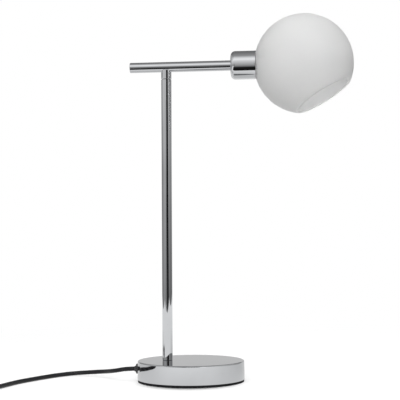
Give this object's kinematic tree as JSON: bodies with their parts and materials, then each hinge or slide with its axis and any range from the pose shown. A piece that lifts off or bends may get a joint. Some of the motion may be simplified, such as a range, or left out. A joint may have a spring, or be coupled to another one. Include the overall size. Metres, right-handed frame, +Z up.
{
  "type": "table lamp",
  "caption": "Table lamp: round weighted chrome foot, offset upright tube, level arm, opal glass globe with a slanted mouth that turns about the arm, black flex with inline switch and plug.",
  "frame": {"origin": "middle of the foot's underside, on the surface that the lamp stands on", "axes": "+Z up; +X along the arm, from the stem to the globe; +Y completes a right-handed frame"},
  "size_m": [0.5903, 0.2109, 0.4623],
  "materials": {
    "chrome": "polished",
    "cast_iron": "raw casting, oiled",
    "zinc_steel": "zinc plated",
    "pad_black": "matte foam rubber",
    "opal_glass": "satin opal",
    "bulb_opal": "opal",
    "holder_black": "moulded thermoset, satin",
    "collar_white": "satin",
    "block_white": "moulded",
    "gasket_clear": "silicone",
    "brass": "bright",
    "nickel": "nickel plated",
    "insulator_dark": "vitrite",
    "cord_black": "extruded PVC",
    "core_brown": "extruded PVC",
    "core_blue": "extruded PVC",
    "switch_black": "moulded, fine grain",
    "plug_black": "moulded, fine grain"
  },
  "bodies": {
    "lamp": {"base_shell": "chrome", "stem_tube": "chrome", "arm_socket": "chrome", "arm_tube": "chrome", "arm_end_cap": "chrome", "holder_cup": "chrome", "base_weight": "cast_iron", "base_plate": "zinc_steel", "plate_screws": "zinc_steel", "stem_nipple": "zinc_steel", "stem_nut": "zinc_steel", "stem_washer": "zinc_steel", "seam_nipple": "zinc_steel", "arm_nipple": "zinc_steel", "arm_washer": "zinc_steel", "arm_nut": "zinc_steel", "clamp_screws": "zinc_steel", "switch_screws": "zinc_steel", "foot_pad": "pad_black", "bulb_glass": "bulb_opal", "holder_cap": "holder_black", "holder_skirt": "holder_black", "shade_ring": "holder_black", "rear_ring": "holder_black", "cord_gland": "holder_black", "gland_nut": "holder_black", "cord_clamp": "holder_black", "bulb_collar": "collar_white", "terminal_block": "block_white", "glass_gasket": "gasket_clear", "screw_shell": "brass", "centre_contact": "brass", "bulb_cap": "nickel", "bulb_contact": "nickel", "plug_pins": "nickel", "bulb_insulator": "insulator_dark", "cord_lamp_run": "cord_black", "cord_switch_run": "cord_black", "cord_coil": "cord_black", "cord_plug_run": "cord_black", "cord_inside": "cord_black", "plug_lead": "cord_black", "cord_tie": "cord_black", "core_brown": "core_brown", "core_blue": "core_blue", "switch_base": "switch_black", "switch_cover": "switch_black", "plug_relief": "plug_black", "plug_body": "plug_black", "plug_sleeves": "plug_black"},
    "globe": {"glass_globe": "opal_glass"},
    "rocker": {"switch_rocker": "switch_black"}
  },
  "joints": [
    {"name": "globe_turn", "type": "hinge", "parent": "lamp", "child": "globe", "pos_m": [0.1458, 0, 0.3995], "axis": [1, 0, 0], "continuous": true},
    {"name": "rocker_tip", "type": "hinge", "parent": "lamp", "child": "rocker", "pos_m": [-0.293, -0.131, 0.0142], "axis": [0, 1, 0], "range_deg": [-24, 0]}
  ]
}
